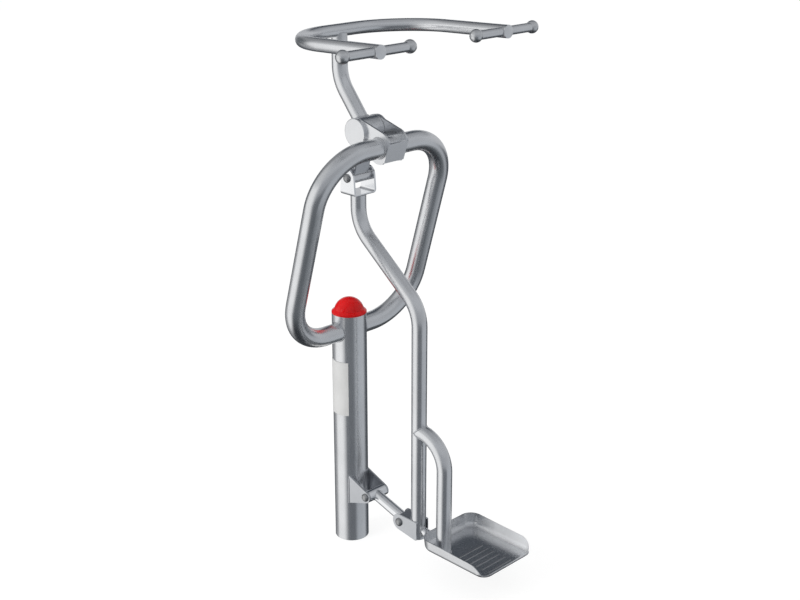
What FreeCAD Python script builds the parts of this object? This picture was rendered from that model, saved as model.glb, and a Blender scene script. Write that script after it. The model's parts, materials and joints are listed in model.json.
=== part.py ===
import FreeCAD, Part
import math
import os
import re
import Sketcher

# Lever pull-up trainer: a post with a leaning loop frame carries a lever on a hub.
# Pulling the overhead handles down lifts the bent leg and its foot tray.
# Millimetres and degrees. X runs across, -Y towards the user, Z up from the ground.

SIZES = {
    # Post and cap
    "post_diameter": 139.7,
    "post_wall": 4,
    "post_height": 1000,
    "post_foot_plate": 8,
    "cap_brim": 140.5,
    "cap_brim_height": 6,
    "cap_flare": 10,
    "cap_dome": 118,
    "cap_dome_height": 46,
    "cap_wall": 3,
    "cap_skirt": 25,
    # Loop frame
    "loop_diameter": 76.1,
    "loop_wall": 3.2,
    "loop_half_width": 321,
    "loop_length": 813.6,
    "loop_lean": 16.2,
    "loop_bend": 200,
    "loop_drop": 69.6,
    "loop_seam": 2,
    # Head box and hub
    "hub_forward": 112,
    "hub_rise": 40.305,
    "hub_diameter": 108,
    "hub_wall": 7,
    "hub_half_width": 41,
    "head_half_gap": 42,
    "head_plate": 8,
    "head_hub_radius": 55,
    "head_radius": 62,
    "head_reach": 39,
    "head_front_half_height": 40,
    "head_front_plate": 6,
    "cover_diameter": 108,
    "cover_height": 14,
    "cover_edge": 4,
    "cover_wall": 3,
    "axle_diameter": 40,
    "bearing_width": 18,
    "running_fit": 0.05,
    # Swing stop inside the hub
    "swing": 35,
    "stop_half_width": 9,
    "stop_height": 44,
    "stop_half_length": 20,
    "stop_gap": 0.3,
    "buffer_thickness": 10,
    "buffer_foot": 26,
    # Bent round tube of the arm, the leg and the brace
    "tube_diameter": 60.3,
    "tube_wall": 3,
    "tube_bend": 150,
    # Lever arm and handlebar
    "arm_angle": 39.5,
    "arm_back": 32,
    "arm_cap": 4,
    "arm_cap_drop": 8,
    "bar_diameter": 48.3,
    "bar_wall": 3,
    "bar_half_width": 317.5,
    "bar_bend": 250,
    "bar_lift": 355.4,
    "bar_rise": 2,
    "bar_tail": 17,
    "bar_end_cap": 5,
    "grip_reach": 534,
    "grip_diameter": 33.7,
    "grip_wall": 3,
    "grip_half_span": 152.5,
    "ball_diameter": 48,
    # Lug under the hub, pins and eyes
    "lug_width": 76,
    "lug_thickness": 30,
    "lug_wall": 4,
    "lug_corner": 6,
    "eye_diameter": 48.3,
    "bush_diameter": 30,
    "bush_length": 20,
    "side_play": 1,
    "pin_diameter": 18,
    "pin_head": 34,
    "pin_collar": 3.5,
    "pin_dome": 9,
    "pin_thread": 4,
    # Fork on top of the leg
    "fork_pin_forward": 62,
    "fork_pin_drop": 183,
    "fork_half_gap": 49,
    "fork_plate": 8,
    "fork_eye": 35,
    "fork_depth": 69,
    "fork_half_depth": 40,
    "fork_fold": 16,
    "fork_corner": 6,
    # Leg
    "leg_neck": 125,
    "leg_lean": 51.5,
    "leg_forward": 393,
    "leg_foot": 143,
    # Bracket on the post and link
    "link_pin_forward": 142,
    "link_pin_height": 240.5,
    "bracket_half_gap": 47,
    "bracket_plate": 8,
    "bracket_eye": 24,
    "bracket_below": 64.5,
    "bracket_above": 66.5,
    "bracket_corner": 4,
    "link_diameter": 44.5,
    "link_wall": 3,
    # Bracket on the leg's foot
    "foot_pin_back": 76,
    "foot_pin_rise": 47.5,
    "foot_plate": 4,
    "foot_eye": 34.5,
    "foot_reach": 21,
    "foot_corner": 6,
    "foot_fold": 7,
    "foot_web_setback": 1,
    "foot_ring": 45,
    "foot_bore": 35.4,
    # Brace and stub of the tray
    "brace_inset": 80,
    "brace_rise": 480,
    "brace_bend": 135,
    "brace_cope": 6,
    "stub_diameter": 33.7,
    "stub_wall": 2.6,
    "stub_rise": 35,
    "stub_slope": 10,
    # Foot tray
    "tray_left": 46.5,
    "tray_right": 246.5,
    "tray_gap": 28.35,
    "tray_length": 337,
    "tray_drop": 13,
    "tray_sheet": 3,
    "tray_depth": 60,
    "tray_flare": 7,
    "tray_corner": 45,
    "tray_fold": 26,
    "rim_rear_height": 55,
    "rim_front_height": 49,
    "rim_slope": 73.5,
    "rim_toe": 20.5,
    "rim_lip_height": 8,
    "rim_radius": 55,
    "tread_left": 10,
    "tread_right": 145,
    "tread_rear": 154.5,
    "tread_front": 32.5,
    "tread_width": 4,
    "tread_height": 2,
}
TREADS = 6

# Heights and places that follow from the sizes
PLACES = {
    "loop_base": "post_height - loop_drop",
    "loop_top": "loop_base + loop_length * cos(loop_lean)",
    "hub_height": "loop_top + hub_rise",
    "bar_height": "hub_height + bar_lift",
    "fork_pin_height": "hub_height - fork_pin_drop",
    "fork_base": "fork_pin_height - fork_depth",
    "leg_corner_height": "fork_base - leg_neck",
    "bracket_foot": "link_pin_height - bracket_below",
    "bracket_top": "link_pin_height + bracket_above",
    "foot_pin_forward": "leg_forward - foot_pin_back",
    "foot_pin_height": "leg_foot + foot_pin_rise",
    "foot_low": "foot_pin_height - foot_eye",
    "foot_top": "foot_pin_height + foot_eye",
    "stub_height": "leg_foot + stub_rise",
    "tray_rear": "leg_forward + tube_diameter / 2 + tray_gap",
    "tray_front": "tray_rear + tray_length",
    "tray_floor": "leg_foot - tray_drop",
    "brace_forward": "tray_rear + brace_inset",
    "brace_height": "tray_floor + brace_rise",
    "rim_rear": "tray_floor + rim_rear_height",
    "rim_front": "tray_floor + rim_front_height",
    "rim_lip": "tray_floor + rim_lip_height",
    "rim_bend": "tray_front - rim_slope",
    "rim_drop": "tray_front - rim_toe",
    "tread_first": "tray_rear + tread_rear",
    "tread_pitch": "(tray_length - tread_rear - tread_front) / %d" % (TREADS - 1),
}

# Pivot centres and other joints as Y and Z expressions of the sizes
HUB = ("-hub_forward", "hub_height")
LOOP_TOP = ("-loop_length * sin(loop_lean)", "loop_top")
FORK_PIN = ("-fork_pin_forward", "fork_pin_height")
LINK_PIN = ("-link_pin_forward", "link_pin_height")
FOOT_PIN = ("-foot_pin_forward", "foot_pin_height")
BAR = ("arm_back", "bar_height")
GRIP = ("arm_back - grip_reach * cos(bar_rise)", "bar_height + grip_reach * sin(bar_rise)")

X_AXIS = FreeCAD.Vector(1, 0, 0)
Y_AXIS = FreeCAD.Vector(0, 1, 0)
Z_AXIS = FreeCAD.Vector(0, 0, 1)

doc = FreeCAD.newDocument("pull_up_trainer")
dims = doc.addObject("Spreadsheet::Sheet", "Dims")
for row, (alias, size) in enumerate(SIZES.items(), 1):
    dims.set("A%d" % row, alias)
    dims.set("B%d" % row, str(size))
    dims.setAlias("B%d" % row, alias)
doc.recompute()
nodes = {}


def cells(text):
    """Turn the names of sizes and places into references to the sheet."""
    def reference(match):
        name = match[0]
        if name in PLACES:
            return "(%s)" % cells(PLACES[name])
        return "Dims." + name if name in SIZES else name

    return re.sub(r"[a-z_]+", reference, text)


def value(text):
    """Present value of an expression of the sizes."""
    result = dims.evalExpression(cells(text))
    return float(getattr(result, "Value", result))


def bind(item, **expressions):
    """Tie properties of an object to the sheet."""
    for name, text in expressions.items():
        item.setExpression(name, cells(text))


def place(item, x, y, z, axis=Z_AXIS, angle=None):
    """Tie an object's position, and its turn about one axis, to the sheet."""
    turn = value(angle) if angle else 0
    item.Placement = FreeCAD.Placement(FreeCAD.Vector(), FreeCAD.Rotation(axis, turn))
    for name, text in zip("xyz", (x, y, z)):
        item.setExpression("Placement.Base." + name, cells(text))
    if angle:
        item.setExpression("Placement.Rotation.Angle", cells(angle))
    return item


def node(name, item):
    """Make an object one of the sub-parts that are written out."""
    item.Label = name
    nodes[name] = item
    return item


def sketch(body, role, offset="0"):
    """New sketch on one of a body's base planes."""
    plane = next(f for f in body.Origin.OriginFeatures if f.Role == role)
    item = body.newObject("Sketcher::SketchObject", body.Name + "_sketch")
    item.AttachmentSupport = [(plane, "")]
    item.MapMode = "FlatFace"
    item.setExpression("AttachmentOffset.Base.z", cells(offset))
    return item


def drive(item, kind, *terms):
    """Add a sketch dimension whose value comes from the sheet."""
    where, text = terms[:-1], terms[-1]
    index = item.addConstraint(Sketcher.Constraint(kind, *where, value(text)))
    item.setExpression("Constraints[%d]" % index, cells(text))


def locate(item, geometry, end, x, y):
    """Fix a sketch point by its two coordinates."""
    for text, kind, axis in ((x, "DistanceX", -2), (y, "DistanceY", -1)):
        if text == "0":
            item.addConstraint(Sketcher.Constraint("PointOnObject", geometry, end, axis))
        else:
            drive(item, kind, -1, 1, geometry, end, text)


def point(x, y):
    return FreeCAD.Vector(value(x), value(y), 0)


def arc(centre, radius, start, end):
    """Arc of a circle, counter-clockwise between two points."""
    first = math.atan2(start.y - centre.y, start.x - centre.x)
    last = math.atan2(end.y - centre.y, end.x - centre.x)
    return Part.ArcOfCircle(Part.Circle(centre, Z_AXIS, radius), first, last)


def circle(item, x, y, diameter):
    index = item.addGeometry(Part.Circle(point(x, y), Z_AXIS, value(diameter) / 2), False)
    locate(item, index, 3, x, y)
    drive(item, "Diameter", index, diameter)


def bent_path(item, corners, bend):
    """Straight runs through the corners, joined by tangent bends; gives the number of edges."""
    points = [point(*corner) for corner in corners]
    radius = value(bend)
    runs = [(b - a).normalize() for a, b in zip(points, points[1:])]
    turns = [a.cross(b).z for a, b in zip(runs, runs[1:])]
    tangents = [radius * math.tan(a.getAngle(b) / 2) for a, b in zip(runs, runs[1:])]
    starts = [points[0]] + [p + r * t for p, r, t in zip(points[1:], runs[1:], tangents)]
    ends = [p - r * t for p, r, t in zip(points[1:], runs, tangents)] + [points[-1]]
    lines = []
    bends = []
    for index, (start, end) in enumerate(zip(starts, ends)):
        lines.append(item.addGeometry(Part.LineSegment(start, end), False))
        if index < len(turns):
            side = math.copysign(radius, turns[index])
            centre = end + FreeCAD.Vector(-runs[index].y, runs[index].x, 0) * side
            pair = (end, starts[index + 1])
            sweep = pair if side > 0 else pair[::-1]
            bends.append(item.addGeometry(arc(centre, radius, *sweep), False))
    locate(item, lines[0], 1, *corners[0])
    locate(item, lines[-1], 2, *corners[-1])
    for index, bent in enumerate(bends):
        enter, leave = (1, 2) if turns[index] > 0 else (2, 1)
        item.addConstraint(Sketcher.Constraint("Tangent", lines[index], 2, bent, enter))
        item.addConstraint(Sketcher.Constraint("Tangent", bent, leave, lines[index + 1], 1))
        drive(item, "Radius", bent, bend)
        corner = item.addGeometry(Part.Point(points[index + 1]), True)
        locate(item, corner, 1, *corners[index + 1])
        for line in lines[index:index + 2]:
            item.addConstraint(Sketcher.Constraint("PointOnObject", corner, 1, line))
    return len(lines) + len(bends)


def hull(item, rounds):
    """Tangent outline round circles, given counter-clockwise as x, y and radius."""
    centres = [point(x, y) for x, y, radius in rounds]
    radii = [value(radius) for x, y, radius in rounds]
    count = len(rounds)
    lines = []
    feet = []
    for index in range(count):
        after = (index + 1) % count
        run = centres[after] - centres[index]
        along = FreeCAD.Vector(run).normalize()
        lean = (radii[index] - radii[after]) / run.Length
        out = along * lean + FreeCAD.Vector(along.y, -along.x, 0) * math.sqrt(1 - lean ** 2)
        ends = (centres[index] + out * radii[index], centres[after] + out * radii[after])
        lines.append(item.addGeometry(Part.LineSegment(*ends), False))
        feet.append(ends)
    for index, (x, y, radius) in enumerate(rounds):
        sweep = (feet[index - 1][1], feet[index][0])
        corner = item.addGeometry(arc(centres[index], radii[index], *sweep), False)
        locate(item, corner, 3, x, y)
        drive(item, "Radius", corner, radius)
        item.addConstraint(Sketcher.Constraint("Tangent", lines[index - 1], 2, corner, 1))
        item.addConstraint(Sketcher.Constraint("Tangent", corner, 2, lines[index], 1))


def outline(item, corners):
    """Closed outline; a corner's third and fourth terms bow the run after it, left or right."""
    points = [point(*corner[:2]) for corner in corners]
    tails = []
    for index, (start, corner) in enumerate(zip(points, corners)):
        end = points[(index + 1) % len(points)]
        if len(corner) == 2:
            edge = item.addGeometry(Part.LineSegment(start, end), False)
            tails.append((edge, 1, 2))
            continue
        radius, side = value(corner[2]), corner[3]
        chord = end - start
        rise = math.sqrt(max(radius ** 2 - chord.Length ** 2 / 4, 0))
        across = FreeCAD.Vector(-chord.y, chord.x, 0).normalize()
        centre = (start + end) * 0.5 + across * rise * side
        sweep = (start, end) if side > 0 else (end, start)
        edge = item.addGeometry(arc(centre, radius, *sweep), False)
        drive(item, "Radius", edge, corner[2])
        tails.append((edge, 1, 2) if side > 0 else (edge, 2, 1))
    for index, (edge, tail, head) in enumerate(tails):
        follower, start, unused = tails[(index + 1) % len(tails)]
        item.addConstraint(Sketcher.Constraint("Coincident", edge, head, follower, start))
        locate(item, edge, tail, *corners[index][:2])


def pad(body, item, length):
    feature = body.newObject("PartDesign::Pad", body.Name + "_pad")
    feature.Profile = item
    bind(feature, Length=length)
    return body


def plate(name, role, rounds, start, length):
    """Plate cut to a tangent outline round circles."""
    body = doc.addObject("PartDesign::Body", name)
    item = sketch(body, role, start)
    hull(item, rounds)
    return pad(body, item, length)


def block(name, low_y, high_y, low_z, high_z, half_width):
    """Rectangular block across the object's middle plane."""
    body = doc.addObject("PartDesign::Body", name)
    item = sketch(body, "YZ_Plane", "-(%s)" % half_width)
    corners = ((low_y, low_z), (high_y, low_z), (high_y, high_z), (low_y, high_z))
    outline(item, corners)
    return pad(body, item, "2 * (%s)" % half_width)


def ring(name, centre, diameter, bore, start, length):
    """Round tube or bush along X."""
    body = doc.addObject("PartDesign::Body", name)
    item = sketch(body, "YZ_Plane", start)
    circle(item, *centre, diameter)
    circle(item, *centre, bore)
    return pad(body, item, length)


def turned(name, corners):
    """Piece turned about its own Z axis, from an outline of radius and height."""
    body = doc.addObject("PartDesign::Body", name)
    item = sketch(body, "XZ_Plane")
    outline(item, corners)
    feature = body.newObject("PartDesign::Revolution", name + "_turn")
    feature.Profile = item
    feature.ReferenceAxis = (item, ["V_Axis"])
    feature.Angle = 360
    return body


def bent_tube(name, role, corners, bend, diameter, wall):
    """Hollow round tube along a bent path."""
    body = doc.addObject("PartDesign::Body", name)
    path = sketch(body, role)
    count = bent_path(path, corners, bend)
    section = body.newObject("Sketcher::SketchObject", name + "_section")
    section.AttachmentSupport = [(path, "Edge1")]
    section.MapMode = "NormalToEdge"
    circle(section, "0", "0", diameter)
    circle(section, "0", "0", "%s - 2 * %s" % (diameter, wall))
    feature = body.newObject("PartDesign::AdditivePipe", name + "_sweep")
    feature.Profile = section
    feature.Spine = (path, ["Edge%d" % (edge + 1) for edge in range(count)])
    return body


def rod(name, diameter, length):
    """Solid round bar along its own Z axis."""
    item = doc.addObject("Part::Cylinder", name)
    bind(item, Radius="(%s) / 2" % diameter, Height=length)
    return item


def cross_rod(name, centre, diameter, half_length):
    """Solid round bar along X."""
    item = rod(name, diameter, "2 * (%s)" % half_length)
    return place(item, "-(%s)" % half_length, *centre, Y_AXIS, "90")


def cut(name, base, *tools):
    """Take tools off a base one after another."""
    for index, tool in enumerate(tools, 1):
        result = doc.addObject("Part::Cut", name if index == len(tools) else name + "_stage")
        result.Base = base
        result.Tool = tool
        base = result
    return base


def common(name, base, tool):
    result = doc.addObject("Part::Common", name)
    result.Base = base
    result.Tool = tool
    return result


def group(name, items):
    """Identical or paired pieces that share one node."""
    result = doc.addObject("Part::Compound", name)
    result.Links = items
    return node(name, result)


def straight_tube(name, diameter, wall, length):
    """Hollow round tube along its own Z axis."""
    bore = rod(name + "_bore", "%s - 2 * %s" % (diameter, wall), length)
    return cut(name + "_blank", rod(name + "_bar", diameter, length), bore)


def dome(half_width, height):
    """Radius of a dome from its half width and height."""
    return "((%s)^2 + (%s)^2) / (2 * (%s))" % (half_width, height, height)


def pinned(name, nut_name, centre, reach):
    """Pivot pin across X with a domed head, and its domed cap nut, outside two plates."""
    half_head = "pin_head / 2"
    half_pin = "pin_diameter / 2"
    curve = dome(half_head, "pin_dome")
    shank = "2 * (%s) + pin_thread" % reach
    pin = turned(name, (
        ("0", "-pin_collar - pin_dome", curve, 1),
        (half_head, "-pin_collar"),
        (half_head, "0"),
        (half_pin, "0"),
        (half_pin, shank),
        ("0", shank),
    ))
    nut = turned(nut_name, (
        (half_pin, "0"),
        (half_head, "0"),
        (half_head, "pin_collar", curve, 1),
        ("0", "pin_collar + pin_dome"),
        ("0", "pin_thread"),
        (half_pin, "pin_thread"),
    ))
    place(pin, "-(%s)" % reach, *centre, Y_AXIS, "90")
    place(nut, reach, *centre, Y_AXIS, "90")
    return pin, nut


# Post tube, with the loop's bottom run passing through it, closed by a plate at its foot
post_blank = straight_tube("post", "post_diameter", "post_wall", "post_height")
loop_hole = cross_rod("loop_hole", ("0", "loop_base"), "loop_diameter", "post_diameter")
node("post_tube", cut("post_tube", post_blank, loop_hole))
node("post_foot", rod("post_foot", "post_diameter - 2 * post_wall", "post_foot_plate"))

# Domed cap, plugged into the post
cap_bore = "post_diameter / 2 - post_wall"
cap_inside = "cap_dome / 2 - cap_wall"
cap_shoulder = "cap_brim_height + cap_flare"
cap = turned("post_cap", (
    (cap_inside, "-cap_skirt"),
    (cap_bore, "-cap_skirt"),
    (cap_bore, "0"),
    ("cap_brim / 2", "0"),
    ("cap_brim / 2", "cap_brim_height"),
    ("cap_dome / 2", cap_shoulder, dome("cap_dome / 2", "cap_dome_height"), 1),
    ("0", cap_shoulder + " + cap_dome_height"),
    ("0", cap_shoulder + " + cap_dome_height - cap_wall",
     dome(cap_inside, "cap_dome_height - cap_wall"), -1),
    (cap_inside, cap_shoulder),
))
node("post_cap", place(cap, "0", "0", "post_height"))

# Loop frame: one tube bent to a rounded rectangle, its ends meeting inside the post
loop = bent_tube("loop_frame", "XZ_Plane", (
    ("loop_seam / 2", "0"),
    ("loop_half_width", "0"),
    ("loop_half_width", "loop_length"),
    ("-loop_half_width", "loop_length"),
    ("-loop_half_width", "0"),
    ("-loop_seam / 2", "0"),
), "loop_bend", "loop_diameter", "loop_wall")
node("loop_frame", place(loop, "0", "0", "loop_base", X_AXIS, "loop_lean"))

# Head box: two side plates round the loop's top run and the hub, closed in front
head_angle = "atan2(%s - (%s); (%s) - (%s))" % (HUB[1], LOOP_TOP[1], HUB[0], LOOP_TOP[0])
head_outside = "head_half_gap + head_plate"
head_clip = block("head_clip", "-2 * head_radius", "-head_reach", "-head_radius * 2",
                  "head_radius * 2", "2 * (%s)" % head_outside)
place(head_clip, "0", *LOOP_TOP, X_AXIS, head_angle)
loop_bar = cross_rod("loop_bar", LOOP_TOP, "loop_diameter", "2 * (%s)" % head_outside)
axle_hole = cross_rod("axle_hole", HUB, "axle_diameter", "2 * (%s)" % head_outside)
for side, start in (("left", "-(%s)" % head_outside), ("right", "head_half_gap")):
    sides = plate("head_side_" + side, "YZ_Plane", (
        (*HUB, "head_hub_radius"),
        (*LOOP_TOP, "head_radius"),
    ), start, "head_plate")
    name = "head_plate_" + side
    node(name, cut(name, sides, head_clip, loop_bar, axle_hole))
front = block("head_front_plate", "-head_reach - head_front_plate", "-head_reach",
              "-head_front_half_height", "head_front_half_height", head_outside)
node("head_front_plate", place(front, "0", *LOOP_TOP, X_AXIS, head_angle))

# Hub axle in the side plates, with a cover outside each plate
axle = cross_rod("hub_axle", HUB, "axle_diameter", head_outside)
node("hub_axle", axle)
for side, start, turn in (("left", "-(%s)" % head_outside, "-90"), ("right", head_outside, "90")):
    cover = turned("hub_cover_" + side, (
        ("cover_diameter / 2 - cover_wall", "0"),
        ("cover_diameter / 2", "0"),
        ("cover_diameter / 2", "cover_height - cover_edge", "cover_edge", 1),
        ("cover_diameter / 2 - cover_edge", "cover_height"),
        ("0", "cover_height"),
        ("0", "cover_height - cover_wall"),
        ("cover_diameter / 2 - cover_wall", "cover_height - cover_wall"),
    ))
    node("hub_cover_" + side, place(cover, start, *HUB, Y_AXIS, turn))

# Swing stop: a block on the axle between two rubber buffers inside the sleeve
stop = block("stop_bar", "-stop_half_width", "stop_half_width", "axle_diameter / 4",
             "stop_height", "stop_half_length")
place(stop, "0", *HUB)
node("stop_block", cut("stop_block", stop, axle))
hub_bore = cross_rod("hub_bore", HUB, "hub_diameter - 2 * hub_wall", "hub_half_width")
buffers = []
for side, near, far, turn in (("rest", "-stop_half_width - stop_gap - buffer_thickness",
                               "-stop_half_width - stop_gap", None),
                              ("pulled", "stop_half_width + stop_gap",
                               "stop_half_width + stop_gap + buffer_thickness", "-swing")):
    buffer = block("buffer_%s_bar" % side, near, far, "buffer_foot", "hub_diameter / 2",
                   "stop_half_length")
    place(buffer, "0", *HUB, X_AXIS, turn)
    buffers.append(common("buffer_" + side, buffer, hub_bore))
group("stop_buffers", buffers)

# Hub sleeve and its bearings
node("hub_sleeve", ring("hub_sleeve", HUB, "hub_diameter", "hub_diameter - 2 * hub_wall",
                        "-hub_half_width", "2 * hub_half_width"))
for side, start in (("left", "-hub_half_width"), ("right", "hub_half_width - bearing_width")):
    name = "hub_bearing_" + side
    node(name, ring(name, HUB, "hub_diameter - 2 * hub_wall", "axle_diameter + 2 * running_fit",
                    start, "bearing_width"))

# Lever arm: radial from the hub, bent upright, coped to the hub sleeve and to the handlebar
hub_body = cross_rod("hub_body", HUB, "hub_diameter", "hub_diameter")
bar_body = cross_rod("bar_body", BAR, "bar_diameter", "hub_diameter")
arm_top = "bar_height - arm_cap_drop - arm_cap"
arm = bent_tube("arm_tube", "YZ_Plane", (
    ("-hub_forward + 0.35 * hub_diameter * sin(arm_angle)",
     "hub_height + 0.35 * hub_diameter * cos(arm_angle)"),
    ("arm_back", "hub_height + (hub_forward + arm_back) / tan(arm_angle)"),
    ("arm_back", arm_top),
), "tube_bend", "tube_diameter", "tube_wall")
node("lever_arm", cut("lever_arm", arm, hub_body, bar_body))
arm_lid = place(rod("arm_lid", "tube_diameter", "arm_cap"), "0", "arm_back", arm_top)
node("arm_cap", cut("arm_cap", arm_lid, bar_body))

# Handlebar: a U of tube, rising slightly to the front, with a grip bar across each leg
bar_end = "grip_reach + bar_tail"
bar = bent_tube("bar_tube", "XY_Plane", (
    ("-bar_half_width", "-(%s)" % bar_end),
    ("-bar_half_width", "0"),
    ("bar_half_width", "0"),
    ("bar_half_width", "-(%s)" % bar_end),
), "bar_bend", "bar_diameter", "bar_wall")
place(bar, "0", *BAR, X_AXIS, "-bar_rise")
grip_hole = cross_rod("grip_hole", GRIP, "grip_diameter", "2 * bar_half_width")
node("handlebar", cut("handlebar", bar, grip_hole))
ball_seat = "(grip_diameter / 2 + running_fit)"
end_caps = []
balls = []
for side, sign in (("left", "-"), ("right", "")):
    middle = sign + "bar_half_width"
    name = "grip_" + side
    node(name, ring(name, GRIP, "grip_diameter", "grip_diameter - 2 * grip_wall",
                    middle + " - grip_half_span", "2 * grip_half_span"))
    end_cap = turned("end_cap_" + side, (
        ("0", "0"),
        ("bar_diameter / 2", "0"),
        ("bar_diameter / 2", "bar_end_cap / 2", dome("bar_diameter / 2", "bar_end_cap / 2"), 1),
        ("0", "bar_end_cap"),
    ))
    place(end_cap, middle, "arm_back - (%s) * cos(bar_rise)" % bar_end,
          "bar_height + (%s) * sin(bar_rise)" % bar_end, X_AXIS, "90 - bar_rise")
    end_caps.append(end_cap)
    for end, shift, turn in (("outer", "-", "-90"), ("inner", "+", "90")):
        ball = turned("ball_%s_%s" % (side, end), (
            ("0", "0"),
            (ball_seat, "0"),
            (ball_seat, "-sqrt((ball_diameter / 2)^2 - (%s)^2)" % ball_seat, "ball_diameter / 2", 1),
            ("0", "ball_diameter / 2"),
        ))
        balls.append(place(ball, "%s %s grip_half_span" % (middle, shift), *GRIP, Y_AXIS, turn))
group("grip_balls", balls)
group("handlebar_end_caps", end_caps)

# Lug: a rectangular hollow section from the hub down to the fork pin's eye
lug_drop = "hub_height - fork_pin_height"
lug_shift = "hub_forward - fork_pin_forward"
lug_length = "sqrt((%s)^2 + (%s)^2)" % (lug_drop, lug_shift)
lug_body = doc.addObject("PartDesign::Body", "lug_section")
lug_sketch = sketch(lug_body, "XY_Plane", "-(%s)" % lug_length)
for inset, corner in (("0", "lug_corner"), ("lug_wall", "lug_corner - lug_wall")):
    across = "(lug_width / 2 - %s - (%s))" % (inset, corner)
    deep = "(lug_thickness / 2 - %s - (%s))" % (inset, corner)
    hull(lug_sketch, tuple((sx + across, sy + deep, corner) for sx, sy in
                           (("-", "-"), ("", "-"), ("", ""), ("-", ""))))
pad(lug_body, lug_sketch, lug_length)
place(lug_body, "0", *HUB, X_AXIS, "atan2(%s; %s)" % (lug_shift, lug_drop))
lug_half = "fork_half_gap - side_play"
fork_eye_body = cross_rod("fork_eye_body", FORK_PIN, "eye_diameter", lug_half)
node("lug", cut("lug", lug_body, hub_body, fork_eye_body))
node("lug_eye", ring("lug_eye", FORK_PIN, "eye_diameter", "bush_diameter",
                     "-(%s)" % lug_half, "2 * (%s)" % lug_half))
pin_bore = "pin_diameter + 2 * running_fit"
group("lug_eye_bushes", [
    ring("lug_bush_left", FORK_PIN, "bush_diameter", pin_bore, "-(%s)" % lug_half, "bush_length"),
    ring("lug_bush_right", FORK_PIN, "bush_diameter", pin_bore, lug_half + " - bush_length",
         "bush_length"),
])

# Fork: a plate folded to a U that opens upward, its sides rounded about the fork pin
fork_outside = "fork_half_gap + fork_plate"
fork_crest = "fork_pin_height + 2 * fork_eye"


def folded_sides(half_width, fold, low, high):
    """Outline of a folded U: two round corners at its bend, two small ones at its mouth."""
    across = "(%s - (%s))" % (half_width, fold)
    return (
        ("-" + across, "%s + %s" % (low, fold), fold),
        (across, "%s + %s" % (low, fold), fold),
        (across, "%s - (%s)" % (high, fold), fold),
        ("-" + across, "%s - (%s)" % (high, fold), fold),
    )


fork_start = "fork_pin_forward - 2 * fork_half_depth"
fork_outer = plate("fork_outer", "XZ_Plane", folded_sides(
    fork_outside, "fork_fold", "fork_base", fork_crest), fork_start, "4 * fork_half_depth")
fork_inner = plate("fork_inner", "XZ_Plane", folded_sides(
    "fork_half_gap", "(fork_fold - fork_plate)", "fork_base + fork_plate",
    fork_crest + " + fork_eye"), fork_start, "4 * fork_half_depth")
fork_foot = "fork_half_depth - fork_corner"
fork_side = plate("fork_side", "YZ_Plane", (
    (*FORK_PIN, "fork_eye"),
    ("-fork_pin_forward - (%s)" % fork_foot, "fork_base + fork_corner", "fork_corner"),
    ("-fork_pin_forward + %s" % fork_foot, "fork_base + fork_corner", "fork_corner"),
), "-2 * fork_half_gap", "4 * fork_half_gap")
fork_blank = common("fork_blank", cut("fork_channel", fork_outer, fork_inner), fork_side)
fork_hole = cross_rod("fork_hole", FORK_PIN, "pin_diameter", "2 * fork_half_gap")
node("leg_fork", cut("leg_fork", fork_blank, fork_hole))
fork_pin, fork_nut = pinned("fork_pin", "fork_nut", FORK_PIN, fork_outside)
node("fork_pin", fork_pin)

# Leg: from the fork, forward on a slope and down to its foot
leg = bent_tube("leg_tube", "YZ_Plane", (
    ("-fork_pin_forward", "fork_base"),
    ("-fork_pin_forward", "leg_corner_height"),
    ("-leg_forward", "leg_corner_height - (leg_forward - fork_pin_forward) / tan(leg_lean)"),
    ("-leg_forward", "leg_foot"),
), "tube_bend", "tube_diameter", "tube_wall")
node("leg_tube", leg)

# Bracket plates on the post, cut to its round, with the link pin between them
post_body = rod("post_body", "post_diameter", "post_height")
bracket_outside = "bracket_half_gap + bracket_plate"
for side, start in (("left", "-(%s)" % bracket_outside), ("right", "bracket_half_gap")):
    name = "post_bracket_" + side
    blank = plate("bracket_blank_" + side, "YZ_Plane", (
        (*LINK_PIN, "bracket_eye"),
        ("-post_diameter / 4", "bracket_foot + bracket_corner", "bracket_corner"),
        ("-post_diameter / 4", "bracket_top - bracket_corner", "bracket_corner"),
    ), start, "bracket_plate")
    hole = cross_rod("link_hole_" + side, LINK_PIN, "pin_diameter", bracket_outside)
    node(name, cut(name, blank, post_body, hole))
link_pin, link_nut = pinned("link_pin", "link_pin_nut", LINK_PIN, bracket_outside)
node("link_pin", link_pin)
node("link_pin_nut", link_nut)

# Link: a short tube between two eyes
link_half = "bracket_half_gap - side_play"
foot_half_gap = "tube_diameter / 2 + running_fit"
foot_half = "tube_diameter / 2 - side_play"
link_drop = "link_pin_height - foot_pin_height"
link_run = "foot_pin_forward - link_pin_forward"
link_blank = straight_tube("link", "link_diameter", "link_wall",
                           "sqrt((%s)^2 + (%s)^2)" % (link_drop, link_run))
place(link_blank, "0", *LINK_PIN, X_AXIS, "90 deg + atan2(%s; %s)" % (link_drop, link_run))
node("link_tube", cut(
    "link_tube", link_blank,
    cross_rod("link_eye_body", LINK_PIN, "eye_diameter", link_half),
    cross_rod("foot_eye_body", FOOT_PIN, "foot_ring", foot_half)))
node("link_eye_upper", ring("link_eye_upper", LINK_PIN, "eye_diameter", "bush_diameter",
                            "-(%s)" % link_half, "2 * (%s)" % link_half))
node("link_eye_lower", ring("link_eye_lower", FOOT_PIN, "foot_ring", "foot_bore",
                            "-(%s)" % foot_half, "2 * (%s)" % foot_half))
group("link_eye_bushes", [
    ring("link_bush_left", LINK_PIN, "bush_diameter", pin_bore, "-(%s)" % link_half,
         "bush_length"),
    ring("link_bush_right", LINK_PIN, "bush_diameter", pin_bore, link_half + " - bush_length",
         "bush_length"),
])

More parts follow.
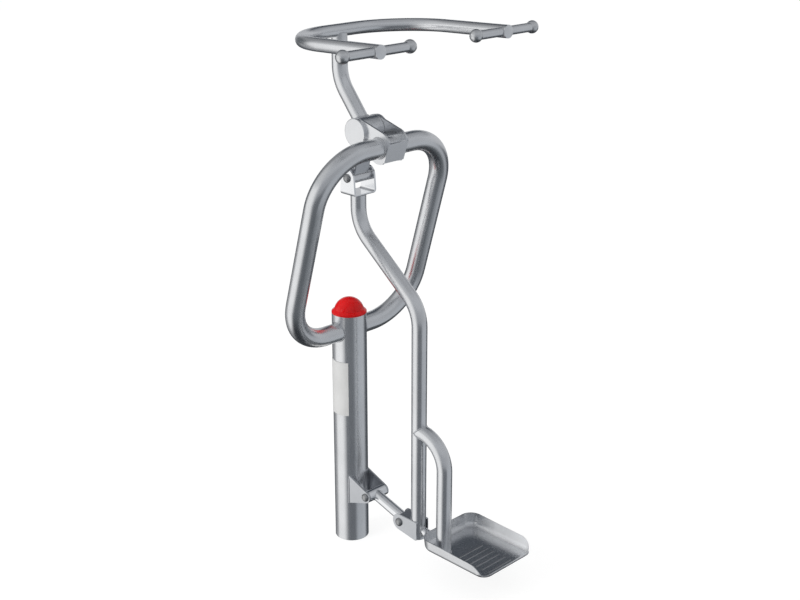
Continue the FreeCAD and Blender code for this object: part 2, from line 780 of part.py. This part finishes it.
# Bracket on the leg's foot: a plate folded over the leg's back, its sides rounded about the pin
foot_outside = foot_half_gap + " + foot_plate"
foot_start = "foot_pin_forward - 2 * foot_eye"
foot_run = "leg_forward - foot_pin_forward + 4 * foot_eye"
foot_outer = plate("foot_outer", "XZ_Plane", folded_sides(
    foot_outside, "foot_fold", "foot_low - foot_eye", "foot_top"), foot_start, foot_run)
foot_inner = plate("foot_inner", "XZ_Plane", folded_sides(
    foot_half_gap, "(foot_fold - foot_plate)", "foot_low - 2 * foot_eye",
    "foot_top - foot_plate"), foot_start, foot_run)
foot_tip = "-leg_forward - foot_reach + foot_corner"
foot_side = plate("foot_side", "YZ_Plane", (
    (*FOOT_PIN, "foot_eye"),
    (foot_tip, "foot_top - foot_corner", "foot_corner"),
    (foot_tip, "leg_foot + foot_corner", "foot_corner"),
), "-tube_diameter", "2 * tube_diameter")
foot_blank = common("foot_blank", cut("foot_channel", foot_outer, foot_inner), foot_side)
foot_hole = cross_rod("foot_hole", FOOT_PIN, "pin_diameter", "tube_diameter")
link_room = block("link_room", "-foot_pin_forward - foot_web_setback",
                  "-foot_pin_forward + 2 * foot_eye", "foot_pin_height",
                  "foot_top + foot_eye", foot_half_gap)
leg_body = rod("leg_body", "tube_diameter", "brace_height + 2 * tube_diameter")
place(leg_body, "0", "-leg_forward", "0")
node("foot_bracket", cut("foot_bracket", foot_blank, foot_hole, link_room, leg_body))
foot_pin, foot_nut = pinned("foot_pin", "foot_nut", FOOT_PIN, foot_outside)
node("foot_pin", foot_pin)
group("leg_pin_nuts", [fork_nut, foot_nut])

# Foot tray: a pressed pan with flared walls, its rim falling away to a low front lip
tray_bottom = "tray_floor - tray_sheet"


def pan(name, height, inset, corner, fold):
    """Solid with flared walls, standing at a height above the tray's bottom."""
    body = doc.addObject("PartDesign::Body", name)
    item = sketch(body, "XY_Plane", "%s + %s" % (tray_bottom, height))
    edge = "((%s) * tan(tray_flare) - (%s) / cos(tray_flare) - %s)" % (height, inset, corner)
    left = "-tray_left - " + edge
    right = "tray_right + " + edge
    rear = "-tray_rear + " + edge
    tip = "-tray_front - " + edge
    hull(item, tuple((x, y, corner) for x, y in
                     ((left, tip), (right, tip), (right, rear), (left, rear))))
    pad(body, item, "tray_depth")
    walls = body.Tip
    bind(walls, TaperAngle="tray_flare")
    doc.recompute()
    bottom = walls.Shape.BoundBox.ZMin + 0.01
    edges = [
        "Edge%d" % index for index, edge in enumerate(walls.Shape.Edges, 1)
        if edge.BoundBox.ZMax < bottom
    ]
    feature = body.newObject("PartDesign::Fillet", name + "_fold")
    feature.Base = (walls, edges)
    bind(feature, Radius=fold)
    return body


tray_outer = pan("tray_outer", "0", "0", "tray_corner", "tray_fold")
tray_inner = pan("tray_inner", "tray_sheet", "tray_sheet", "(tray_corner - tray_sheet)",
                 "tray_fold - tray_sheet")
tray_rim = doc.addObject("PartDesign::Body", "tray_rim")
rim_sketch = sketch(tray_rim, "YZ_Plane", "-2 * tray_right")
outline(rim_sketch, (
    ("-tray_front - 2 * tray_corner", "rim_lip"),
    ("-rim_drop", "rim_lip", "rim_radius", -1),
    ("-rim_bend", "rim_front"),
    ("-tray_rear + 2 * tray_corner", "rim_rear"),
    ("-tray_rear + 2 * tray_corner", "rim_rear + tray_depth"),
    ("-tray_front - 2 * tray_corner", "rim_rear + tray_depth"),
))
pad(tray_rim, rim_sketch, "4 * tray_right")
foot_tray = cut("foot_tray", tray_outer, tray_inner, tray_rim)
node("foot_tray", foot_tray)

treads = []
for index in range(TREADS):
    middle = "-tread_first - %d * tread_pitch" % index
    tread = doc.addObject("Part::Box", "tread_%d" % (index + 1))
    bind(tread, Length="tread_right - tread_left", Width="tread_width", Height="tread_height")
    treads.append(place(tread, "tread_left", middle + " - tread_width / 2", "tray_floor"))
group("tread_bars", treads)

# Brace from the leg down to the tray's floor, coped to the leg and to the tray's near fold
brace = bent_tube("brace", "YZ_Plane", (
    ("-leg_forward - brace_cope", "brace_height"),
    ("-brace_forward", "brace_height"),
    ("-brace_forward", "tray_floor"),
), "brace_bend - brace_cope", "tube_diameter", "tube_wall")
node("brace_tube", cut("brace_tube", brace, leg_body, foot_tray))

# Stub from the leg's foot down to the tray's rear wall
stub_blank = straight_tube("stub", "stub_diameter", "stub_wall", "2 * tube_diameter")
place(stub_blank, "0", "-leg_forward", "stub_height + (tube_diameter / 2) * tan(stub_slope)",
      X_AXIS, "90 + stub_slope")
tray_back = block("tray_back", "-tray_front", "-tray_rear", "leg_foot - tube_diameter",
                  "foot_top + tube_diameter", "tube_diameter")
node("tray_stub", cut("tray_stub", stub_blank, leg_body, tray_outer, tray_back))

doc.recompute()
for item in doc.Objects:
    if any(state in item.State for state in ("Invalid", "Error")):
        raise RuntimeError("%s: %s" % (item.Name, item.State))
os.makedirs("parts", exist_ok=True)
for name, item in nodes.items():
    if item.Shape.isNull() or not item.Shape.isValid() or not item.Shape.Solids:
        raise RuntimeError("no valid solid in " + name)
    item.Shape.exportStep("parts/%s.step" % name)
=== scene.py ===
import json
import math
import bmesh
import bpy
from mathutils import Matrix, Vector


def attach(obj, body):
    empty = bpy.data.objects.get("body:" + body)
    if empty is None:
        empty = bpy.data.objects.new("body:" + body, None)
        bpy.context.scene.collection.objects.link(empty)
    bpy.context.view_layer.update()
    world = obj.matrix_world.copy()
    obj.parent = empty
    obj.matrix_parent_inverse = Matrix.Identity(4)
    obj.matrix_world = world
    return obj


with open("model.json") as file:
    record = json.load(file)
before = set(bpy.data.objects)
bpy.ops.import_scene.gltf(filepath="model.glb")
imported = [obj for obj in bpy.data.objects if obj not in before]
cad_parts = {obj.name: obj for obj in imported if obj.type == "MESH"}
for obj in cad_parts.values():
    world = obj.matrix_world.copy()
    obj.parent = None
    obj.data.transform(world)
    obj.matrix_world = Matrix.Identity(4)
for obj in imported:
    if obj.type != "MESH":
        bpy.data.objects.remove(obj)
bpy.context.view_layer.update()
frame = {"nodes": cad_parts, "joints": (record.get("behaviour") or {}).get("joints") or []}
nodes = frame["nodes"]
scene = bpy.context.scene
scene.view_settings.view_transform = "Standard"

# Pivots of the trainer from the frame, and the other places that the welds need, in metres
PIVOTS = {joint["name"]: Vector(joint["pos_m"]) for joint in frame["joints"]}
HUB = PIVOTS["lever_hinge"]
FORK_PIN = PIVOTS["leg_hinge"]
LINK_PIN = PIVOTS["link_hinge"]
FOOT_PIN = Vector((0, -0.317, 0.1905))
LOOP_TOP = Vector((0, -0.227, 1.7117))
LOOP_FOOT = Vector((0, 0, 0.9304))
BAR_BACK = Vector((0, 0.032, 2.1074))
LEG_Y = -0.393
SIDES = (("left", -1), ("right", 1))

# Radii of the post, the hub and the tubes
POST_R = 0.06985
HUB_R = 0.054
LOOP_R = 0.03805
TUBE_R = 0.03015
BAR_R = 0.02415
LINK_R = 0.02225
GRIP_R = 0.01685
STUB_R = 0.01685


def make_camera():
    """Camera at the photograph's viewing angle."""
    azimuth = math.radians(-44.73)
    elevation = math.radians(20.11)
    back = Vector((math.sin(azimuth) * math.cos(elevation),
                   -math.cos(azimuth) * math.cos(elevation), math.sin(elevation)))
    data = bpy.data.cameras.new("camera")
    data.sensor_width = 36
    data.lens = 58.46
    data.clip_end = 200
    camera = bpy.data.objects.new("camera", data)
    camera.location = (-3.26629, -3.58532, 2.82372)
    camera.rotation_mode = "QUATERNION"
    camera.rotation_quaternion = (-back).to_track_quat("-Z", "Y")
    scene.collection.objects.link(camera)
    scene.camera = camera


# Node helpers
def object_axes(tree):
    """X, Y and Z of the object's own coordinates."""
    coords = tree.nodes.new("ShaderNodeTexCoord")
    axes = tree.nodes.new("ShaderNodeSeparateXYZ")
    tree.links.new(coords.outputs["Object"], axes.inputs["Vector"])
    return axes.outputs


def noise(tree, scale, detail, stretch=(1, 1, 1)):
    """Noise on object coordinates, stretched along the axes."""
    coords = tree.nodes.new("ShaderNodeTexCoord")
    mapping = tree.nodes.new("ShaderNodeMapping")
    mapping.inputs["Scale"].default_value = stretch
    texture = tree.nodes.new("ShaderNodeTexNoise")
    texture.inputs["Scale"].default_value = scale
    texture.inputs["Detail"].default_value = detail
    tree.links.new(coords.outputs["Object"], mapping.inputs["Vector"])
    tree.links.new(mapping.outputs["Vector"], texture.inputs["Vector"])
    return texture.outputs["Fac"]


def spread(tree, value, low, high, start=0.3, end=0.7):
    """Low where the value is at its start, high where it is at its end. Noise runs from 0.3 to 0.7."""
    node = tree.nodes.new("ShaderNodeMapRange")
    node.inputs["From Min"].default_value = start
    node.inputs["From Max"].default_value = end
    node.inputs["To Min"].default_value = low
    node.inputs["To Max"].default_value = high
    tree.links.new(value, node.inputs["Value"])
    return node.outputs["Result"]


def math_node(tree, operation, first, second):
    """One operation on two values. Each is a number or a socket."""
    node = tree.nodes.new("ShaderNodeMath")
    node.operation = operation
    for socket, value in zip(node.inputs, (first, second)):
        if isinstance(value, (int, float)):
            socket.default_value = value
        else:
            tree.links.new(value, socket)
    return node.outputs["Value"]


def mix_colours(tree, share, first, second):
    """First colour at a share of 0 and second at 1. Each is a tone or a socket."""
    node = tree.nodes.new("ShaderNodeMix")
    node.data_type = "RGBA"
    tree.links.new(share, node.inputs["Factor"])
    colour_sockets = node.inputs[6:8]
    for socket, colour in zip(colour_sockets, (first, second)):
        if isinstance(colour, tuple):
            socket.default_value = (*colour, 1)
        else:
            tree.links.new(colour, socket)
    return node.outputs[2]


def tint(tree, value, dark, light):
    """Colour between two tones, following a noise value."""
    node = tree.nodes.new("ShaderNodeValToRGB")
    first, last = node.color_ramp.elements
    first.position = 0.32
    first.color = (*dark, 1)
    last.position = 0.68
    last.color = (*light, 1)
    tree.links.new(value, node.inputs["Fac"])
    return node.outputs["Color"]


def bump(tree, shader, value, strength, distance):
    """Fine relief that follows a noise value."""
    node = tree.nodes.new("ShaderNodeBump")
    node.inputs["Strength"].default_value = strength
    node.inputs["Distance"].default_value = distance
    tree.links.new(value, node.inputs["Height"])
    tree.links.new(node.outputs["Normal"], shader.inputs["Normal"])


# Finishes
def new_material(name):
    """Material with its nodes and its shader."""
    material = bpy.data.materials.new(name)
    material.use_nodes = True
    tree = material.node_tree
    return material, tree, tree.nodes["Principled BSDF"]


def steel(name, stretch, dark=(0.71, 0.72, 0.735), light=(0.79, 0.80, 0.815), rough=(0.23, 0.30)):
    """Satin stainless steel with fine grinding marks along one direction."""
    material, tree, shader = new_material(name)
    shader.inputs["Metallic"].default_value = 1
    grain = noise(tree, scale=40, detail=3, stretch=stretch)
    cloud = noise(tree, scale=7, detail=4)
    tree.links.new(tint(tree, cloud, dark, light), shader.inputs["Base Color"])
    tree.links.new(spread(tree, grain, *rough), shader.inputs["Roughness"])
    bump(tree, shader, grain, strength=0.005, distance=0.0003)
    return material


def painted_light_right_wall(material):
    """Paints light on the tray's right wall in front of its rear corner: a paler, less metallic tone
    where the steel would mirror the dark near wall.
    """
    tree = material.node_tree
    shader = tree.nodes["Principled BSDF"]
    axes = object_axes(tree)
    across = spread(tree, axes["X"], 0, 1, start=0.222, end=0.245)
    forward = spread(tree, axes["Y"], 0, 1, start=-0.49, end=-0.585)
    share = math_node(tree, "MULTIPLY", across, forward)
    bright = shader.inputs["Base Color"].links[0].from_socket
    # Painted light: the paler tone on the right wall's front part.
    painted_light_tone = (0.88, 0.89, 0.905)
    tree.links.new(mix_colours(tree, share, bright, painted_light_tone), shader.inputs["Base Color"])
    tree.links.new(spread(tree, share, 1, 0.1, start=0, end=1), shader.inputs["Metallic"])


def plastic(name, dark, light, rough, specular=0.5):
    """Moulded plastic with a faint skin texture."""
    material, tree, shader = new_material(name)
    shader.inputs["Specular IOR Level"].default_value = specular
    skin = noise(tree, scale=900, detail=2)
    cloud = noise(tree, scale=12, detail=3)
    tree.links.new(tint(tree, cloud, dark, light), shader.inputs["Base Color"])
    tree.links.new(spread(tree, skin, *rough), shader.inputs["Roughness"])
    bump(tree, shader, skin, strength=0.05, distance=0.0002)
    return material


ALONG_X = (0.4, 12, 12)
ALONG_Z = (12, 12, 0.4)
EVEN = (6, 6, 6)
steel_x = steel("steel_along_x", ALONG_X)
steel_z = steel("steel_along_z", ALONG_Z)
steel_tube = steel("steel_bent_tube", EVEN)
steel_sheet = steel("steel_sheet", EVEN, (0.78, 0.79, 0.805), (0.85, 0.86, 0.875), (0.27, 0.34))
# Darker plate steel for the brackets, also painted shade on the lug that sits under the loop.
steel_plate_and_shade = steel("steel_plate_and_shade", EVEN, (0.53, 0.545, 0.57), (0.59, 0.605, 0.63), (0.27, 0.34))
steel_ball = steel("steel_ball", EVEN, (0.64, 0.65, 0.66), (0.72, 0.73, 0.74), (0.26, 0.32))
# Dark steel for the pins and nuts: painted shade on their domed heads.
steel_pin_shaded = steel("steel_pin_shaded", EVEN, (0.34, 0.345, 0.35), (0.42, 0.425, 0.43), (0.32, 0.40))
steel_tread = steel("steel_tread", ALONG_X, (0.44, 0.445, 0.45), (0.52, 0.525, 0.53), (0.30, 0.40))
# Polished steel with lower roughness and a paler base, which paints brighter highlights on the fork, the
# link and the stub.
steel_polished_lit = steel("steel_polished_lit", EVEN, (0.84, 0.85, 0.865), (0.90, 0.91, 0.925), (0.14, 0.20))
steel_tray = steel("steel_tray", EVEN, (0.65, 0.66, 0.675), (0.73, 0.74, 0.755), (0.22, 0.28))
# Painted light on the tray's right wall, in front of its rear corner.
painted_light_right_wall(steel_tray)
weld = steel("steel_weld", EVEN, (0.55, 0.56, 0.58), (0.70, 0.71, 0.73), (0.28, 0.42))
red = plastic("red_plastic", (0.68, 0.005, 0.006), (0.77, 0.008, 0.009), (0.09, 0.15), specular=0.3)
black = plastic("black_rubber", (0.02, 0.02, 0.02), (0.035, 0.035, 0.035), (0.6, 0.8))
natural = plastic("bearing_plastic", (0.70, 0.68, 0.62), (0.78, 0.76, 0.71), (0.35, 0.5))
plate_grey = plastic("plate_grey", (0.67, 0.67, 0.665), (0.72, 0.72, 0.715), (0.4, 0.55))

# Pieces by finish, some of whose tones hold painted light or shade. The rest are steel with grinding
# marks running up
FINISHES = (
    (steel_x, ("grip_left", "grip_right", "lug_eye", "hub_sleeve", "hub_axle", "hub_bearing_left",
               "hub_bearing_right", "stop_block")),
    (steel_tube, ("handlebar", "loop_frame")),
    (steel_sheet, ("head_plate_left", "head_plate_right", "head_front_plate", "hub_cover_left",
                   "hub_cover_right", "handlebar_end_caps")),
    (steel_plate_and_shade, ("post_bracket_left", "post_bracket_right", "foot_bracket", "lug")),
    (steel_polished_lit, ("leg_fork", "link_tube", "link_eye_upper", "link_eye_lower", "tray_stub")),
    (steel_ball, ("grip_balls",)),
    (steel_pin_shaded, ("link_pin", "link_pin_nut", "fork_pin", "foot_pin", "leg_pin_nuts")),
    (steel_tray, ("foot_tray",)),
    (steel_tread, ("tread_bars",)),
    (red, ("post_cap",)),
    (black, ("stop_buffers",)),
    (natural, ("lug_eye_bushes", "link_eye_bushes")),
)
finish_of = {name: material for material, names in FINISHES for name in names}
for name, item in nodes.items():
    item.data.materials.clear()
    item.data.materials.append(finish_of.get(name, steel_z))


# Weld beads and the name plate
def add_object(name, data, material, body):
    """Piece that rides on a body, with one material."""
    item = bpy.data.objects.new(name, data)
    item.data.materials.append(material)
    scene.collection.objects.link(item)
    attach(item, body)


def bead(name, points, radius, body, cyclic=True):
    """Weld bead along a line, with the small ripples of its runs."""
    ripple = 0.18
    curve = bpy.data.curves.new(name, "CURVE")
    curve.dimensions = "3D"
    curve.bevel_depth = radius
    curve.bevel_resolution = 2
    curve.use_fill_caps = True
    spline = curve.splines.new("POLY")
    spline.points.add(len(points) - 1)
    for index, (target, place) in enumerate(zip(spline.points, points)):
        target.co = (*place, 1)
        target.radius = 1 + ripple * math.cos(index * math.pi)
    spline.use_cyclic_u = cyclic
    add_object(name, curve, weld, body)


def around(function, count=72):
    """Points of a closed line, from its function of the angle."""
    return [Vector(function(2 * math.pi * step / count)) for step in range(count)]


def weld_loop_to_post():
    """Where the loop's bottom run goes through the post."""
    for side, sign in SIDES:
        def point(turn):
            y = LOOP_R * math.cos(turn)
            return sign * math.sqrt(POST_R ** 2 - y ** 2), y, LOOP_FOOT.z + LOOP_R * math.sin(turn)
        bead("weld_loop_" + side, around(point), radius=0.0032, body="post")


def weld_head_plates():
    """Where the loop's top run goes through the head plates."""
    outside = 0.0505
    ring_radius = 0.0385
    for side, sign in SIDES:
        def point(turn):
            return (sign * outside, LOOP_TOP.y + ring_radius * math.cos(turn),
                    LOOP_TOP.z + ring_radius * math.sin(turn))
        bead("weld_head_" + side, around(point), radius=0.003, body="post")


def weld_brackets():
    """Up the post, outside its two lower bracket plates."""
    outside = 0.0552
    proud = 0.001
    low = 0.180
    pitch = 0.0021
    count = 54
    for side, sign in SIDES:
        x = sign * outside
        y = -math.sqrt(POST_R ** 2 - x ** 2) - proud
        rows = [Vector((x, y, low + pitch * step)) for step in range(count)]
        bead("weld_bracket_" + side, rows, radius=0.0028, body="post", cyclic=False)


def weld_arm():
    """Where the lever arm stands on the hub sleeve."""
    lean = math.radians(39.5)
    along = Vector((0, math.sin(lean), math.cos(lean)))
    across = Vector((0, math.cos(lean), -math.sin(lean)))

    def point(turn):
        side = TUBE_R * math.sin(turn)
        reach = math.sqrt(HUB_R ** 2 - side ** 2)
        return HUB + along * reach + across * side + Vector((TUBE_R * math.cos(turn), 0, 0))
    bead("weld_arm", around(point), radius=0.003, body="lever")


def weld_grips():
    """Where each grip goes through the handlebar, on both sides of it."""
    half_width = 0.3175
    reach = 0.534
    rise = math.radians(2)
    grip = BAR_BACK + reach * Vector((0, -math.cos(rise), math.sin(rise)))
    for side, bar in SIDES:
        for end, sign in (("outer", -1), ("inner", 1)):
            def point(turn):
                z = GRIP_R * math.sin(turn)
                across = math.sqrt(BAR_R ** 2 - z ** 2)
                return (bar * half_width + sign * across, grip.y + GRIP_R * math.cos(turn),
                        grip.z + z)
            bead("weld_grip_%s_%s" % (side, end), around(point, count=48), radius=0.0018, body="lever")


def weld_tube_end(name, y, z):
    """Round the level end of an upright tube of the leg."""
    def point(turn):
        return TUBE_R * math.cos(turn), y + TUBE_R * math.sin(turn), z
    bead(name, around(point), radius=0.0026, body="leg")


def weld_leg():
    """Both ends of the brace, and the leg's top under its fork."""
    brace_height = 0.610
    bend_start = -0.399
    bend_radius = 0.13

    def saddle(turn):
        y = LEG_Y - TUBE_R * abs(math.sin(turn))
        drop = max(bend_start - y, 0) ** 2 / (2 * bend_radius)
        return TUBE_R * math.cos(turn), y, brace_height + TUBE_R * math.sin(turn) - drop
    bead("weld_brace_top", around(saddle), radius=0.0028, body="leg")
    weld_tube_end("weld_brace_foot", y=-0.5315, z=0.1312)
    weld_tube_end("weld_fork", y=FORK_PIN.y, z=1.4988)


def weld_link():
    """Where the link's tube meets its two eyes."""
    upper_eye = 0.02415
    lower_eye = 0.0225
    along = (FOOT_PIN - LINK_PIN).normalized()
    across = Vector((0, -along.z, along.y))
    length = (FOOT_PIN - LINK_PIN).length
    for name, start, sign, eye in (("upper", 0, 1, upper_eye), ("lower", length, -1, lower_eye)):
        def point(turn):
            side = LINK_R * math.sin(turn)
            reach = start + sign * math.sqrt(eye ** 2 - side ** 2)
            return (LINK_PIN + along * reach + across * side
                    + Vector((LINK_R * math.cos(turn), 0, 0)))
        bead("weld_link_" + name, around(point, count=48), radius=0.0016, body="link")


def weld_stub():
    """Both ends of the stub between the leg and the tray's rear wall."""
    leg_height = 0.178
    tray_height = 0.1738
    tray_bottom = Vector((0, -0.4515, 0.127))
    flare = math.tan(math.radians(7))

    def on_leg(turn):
        x = STUB_R * math.cos(turn)
        return x, LEG_Y - math.sqrt(TUBE_R ** 2 - x ** 2), leg_height + STUB_R * math.sin(turn)
    bead("weld_stub_leg", around(on_leg, count=48), radius=0.0022, body="leg")

    def on_tray(turn):
        z = tray_height + STUB_R * math.sin(turn)
        return STUB_R * math.cos(turn), tray_bottom.y + (z - tray_bottom.z) * flare, z
    bead("weld_stub_tray", around(on_tray, count=48), radius=0.0022, body="leg")


def weld_foot_bracket():
    """Half way round the leg, on top of the foot bracket's web."""
    ring_radius = 0.0303
    height = 0.2253
    margin = 0.04
    steps = 40
    rows = []
    for step in range(steps + 1):
        turn = math.pi * (margin + (1 - 2 * margin) * step / steps)
        rows.append(Vector((ring_radius * math.cos(turn), LEG_Y + ring_radius * math.sin(turn), height)))
    bead("weld_foot_bracket", rows, radius=0.0024, body="leg", cyclic=False)


def name_plate():
    """Bare plate, curved to the post's left side."""
    gap = 0.0003
    thickness = 0.0012
    radius = POST_R + gap
    turn = math.radians(84)
    low, high = 0.575, 0.806
    mesh = bmesh.new()
    edge_foot = Matrix.Rotation(math.pi - turn / 2, 3, "Z") @ Vector((radius, 0, 0))
    ends = [mesh.verts.new(edge_foot + Vector((0, 0, height))) for height in (low, high)]
    edge = mesh.edges.new(ends)
    bmesh.ops.spin(mesh, geom=[*ends, edge], cent=(0, 0, 0), axis=(0, 0, 1), angle=turn, steps=28)
    bmesh.ops.recalc_face_normals(mesh, faces=mesh.faces[:])
    first = mesh.faces[0]
    if first.normal.dot(first.calc_center_median() * Vector((1, 1, 0))) < 0:
        bmesh.ops.reverse_faces(mesh, faces=mesh.faces[:])
    bmesh.ops.solidify(mesh, geom=mesh.faces[:], thickness=-thickness)
    bmesh.ops.recalc_face_normals(mesh, faces=mesh.faces[:])
    data = bpy.data.meshes.new("name_plate")
    mesh.to_mesh(data)
    mesh.free()
    add_object("name_plate", data, plate_grey, "post")


# Studio: a white floor and surround, a soft lamp, and a dome of cards that the steel mirrors
def seen(tree):
    """1 for rays that show the background: from the camera, mirrored or through glass."""
    rays = tree.nodes.new("ShaderNodeLightPath").outputs
    total = math_node(tree, "MAXIMUM", rays["Is Camera Ray"], rays["Is Glossy Ray"])
    return math_node(tree, "MAXIMUM", total, rays["Is Transmission Ray"])


def bare_material(name):
    """Material with only its output node."""
    material = bpy.data.materials.new(name)
    material.use_nodes = True
    tree = material.node_tree
    tree.nodes.clear()
    output = tree.nodes.new("ShaderNodeOutputMaterial")
    return material, tree, output.inputs["Surface"]


def stage_object(name, mesh, material):
    """Piece of the studio, which isn't part of the object."""
    data = bpy.data.meshes.new(name)
    mesh.to_mesh(data)
    mesh.free()
    data.materials.append(material)
    item = bpy.data.objects.new(name, data)
    scene.collection.objects.link(item)
    return item


def make_world():
    """Soft even light on the object, and plain white where the surround is seen."""
    light_strength = 0.72
    seen_strength = 1
    world = bpy.data.worlds.new("surround")
    scene.world = world
    world.use_nodes = True
    tree = world.node_tree
    tree.nodes.clear()
    mix = tree.nodes.new("ShaderNodeMixShader")
    output = tree.nodes.new("ShaderNodeOutputWorld")
    tree.links.new(seen(tree), mix.inputs["Fac"])
    for socket, strength in zip(mix.inputs[1:], (light_strength, seen_strength)):
        light = tree.nodes.new("ShaderNodeBackground")
        light.inputs["Color"].default_value = (1, 1, 1, 1)
        light.inputs["Strength"].default_value = strength
        tree.links.new(light.outputs["Background"], socket)
    tree.links.new(mix.outputs["Shader"], output.inputs["Surface"])


def make_floor():
    """White floor that keeps the object's shadow."""
    glow_strength = 0.78
    gap_below_post = 0.0005
    material, tree, surface = bare_material("floor")
    matte = tree.nodes.new("ShaderNodeBsdfDiffuse")
    matte.inputs["Color"].default_value = (0.32, 0.32, 0.32, 1)
    glow = tree.nodes.new("ShaderNodeEmission")
    tree.links.new(math_node(tree, "MULTIPLY", seen(tree), glow_strength), glow.inputs["Strength"])
    both = tree.nodes.new("ShaderNodeAddShader")
    tree.links.new(matte.outputs["BSDF"], both.inputs[0])
    tree.links.new(glow.outputs["Emission"], both.inputs[1])
    tree.links.new(both.outputs["Shader"], surface)
    mesh = bmesh.new()
    bmesh.ops.create_grid(mesh, x_segments=1, y_segments=1, size=60)
    floor = stage_object("floor", mesh, material)
    floor.location.z = -gap_below_post
    floor.visible_glossy = False


# Cards of the dome: tones at azimuths in degrees, 0 on the user's side and 90 on the right
WHITE = (1.0, 1.0, 1.0)
GREY = (0.34, 0.345, 0.355)
SLATE = (0.155, 0.166, 0.182)
BLACK = (0.075, 0.083, 0.095)
STEEP_SLATE = (0.13, 0.143, 0.155)
STEEP_BLACK = (0.06, 0.065, 0.07)
REAR_BLACK = (0.12, 0.13, 0.14)
HALF = (0.50, 0.515, 0.54)
RAISED_BLACK = (0.05, 0.06, 0.075)
RAISED_REAR = (0.30, 0.305, 0.315)
ZENITH = (0.40, 0.41, 0.43)
NADIR = (0.035, 0.039, 0.045)
STEEP = ((-180, GREY), (-158, GREY), (-144, WHITE), (-104, WHITE), (-76, STEEP_SLATE),
         (60, STEEP_SLATE), (75, STEEP_BLACK), (168, STEEP_BLACK), (180, GREY))
LEVEL = ((-180, GREY), (-156, GREY), (-144, WHITE), (-94, WHITE), (-66, SLATE), (-16, SLATE),
         (-4, (0.46, 0.485, 0.52)), (64, (0.50, 0.52, 0.55)), (76, BLACK), (168, BLACK), (180, GREY))
HORIZON = ((-180, REAR_BLACK), (-166, REAR_BLACK), (-148, WHITE), (-94, WHITE),
           (-64, (0.38, 0.395, 0.42)), (-12, (0.40, 0.415, 0.44)), (60, HALF),
           (76, (0.56, 0.57, 0.59)), (152, (0.58, 0.59, 0.61)), (166, REAR_BLACK), (180, REAR_BLACK))
RAISED = ((-180, RAISED_REAR), (-164, (0.32, 0.325, 0.335)), (-148, (0.60, 0.61, 0.62)),
          (-98, (0.62, 0.63, 0.64)), (-64, HALF), (58, HALF), (78, (0.38, 0.39, 0.41)),
          (102, (0.34, 0.35, 0.37)), (116, RAISED_BLACK), (152, RAISED_BLACK),
          (166, (0.28, 0.285, 0.295)), (180, RAISED_REAR))
# Each ring of cards, and the elevations between which it takes over from what is below it
RINGS = ((STEEP, -72, -56), (LEVEL, -46, -37), (HORIZON, -13, -7), (RAISED, 18, 25))
ZENITH_START, ZENITH_END = 50, 70


def ring(tree, turn, stops):
    """Tones round the dome, from a turn of 0 to 1."""
    node = tree.nodes.new("ShaderNodeValToRGB")
    elements = node.color_ramp.elements
    while len(elements) < len(stops):
        elements.new(1)
    for element, (azimuth, colour) in zip(elements, stops):
        element.position = azimuth / 360 + 0.5
        element.color = (*colour, 1)
    tree.links.new(turn, node.inputs["Fac"])
    return node.outputs["Color"]


def blend(tree, lift, low, high, first, second):
    """First tone below one elevation, second above another."""
    start, end = math.sin(math.radians(low)), math.sin(math.radians(high))
    return mix_colours(tree, spread(tree, lift, 0, 1, start, end), first, second)


def make_dome():
    """Dome of light and dark cards round the studio, seen only in the steel and the gloss."""
    radius = 100
    material, tree, surface = bare_material("dome")
    axes = object_axes(tree)
    forward = math_node(tree, "MULTIPLY", axes["Y"], -1)
    angle = math_node(tree, "ARCTAN2", axes["X"], forward)
    turn = math_node(tree, "ADD", math_node(tree, "DIVIDE", angle, 2 * math.pi), 0.5)
    lift = math_node(tree, "DIVIDE", axes["Z"], radius)
    tone = NADIR
    for stops, low, high in RINGS:
        tone = blend(tree, lift, low, high, tone, ring(tree, turn, stops))
    tone = blend(tree, lift, ZENITH_START, ZENITH_END, tone, ZENITH)
    glow = tree.nodes.new("ShaderNodeEmission")
    tree.links.new(tone, glow.inputs["Color"])
    tree.links.new(glow.outputs["Emission"], surface)
    mesh = bmesh.new()
    bmesh.ops.create_uvsphere(mesh, u_segments=64, v_segments=32, radius=radius)
    dome = stage_object("dome", mesh, material)
    dome.visible_camera = False
    dome.visible_diffuse = False
    dome.visible_transmission = False
    dome.visible_volume_scatter = False
    dome.visible_shadow = False


def softbox():
    """One large soft lamp on the left."""
    place = Vector((-4.2, 0.9, 2.0))
    target = Vector((0, -0.2, 1.1))
    data = bpy.data.lights.new("softbox", "AREA")
    data.shape = "RECTANGLE"
    data.size = 2.4
    data.size_y = 4.0
    data.energy = 122
    item = bpy.data.objects.new("softbox", data)
    item.location = place
    item.rotation_mode = "QUATERNION"
    item.rotation_quaternion = (target - place).to_track_quat("-Z", "Y")
    item.visible_glossy = False
    scene.collection.objects.link(item)


make_camera()
weld_loop_to_post()
weld_head_plates()
weld_brackets()
weld_arm()
weld_grips()
weld_leg()
weld_link()
weld_stub()
weld_foot_bracket()
name_plate()
make_world()
make_floor()
make_dome()
softbox()
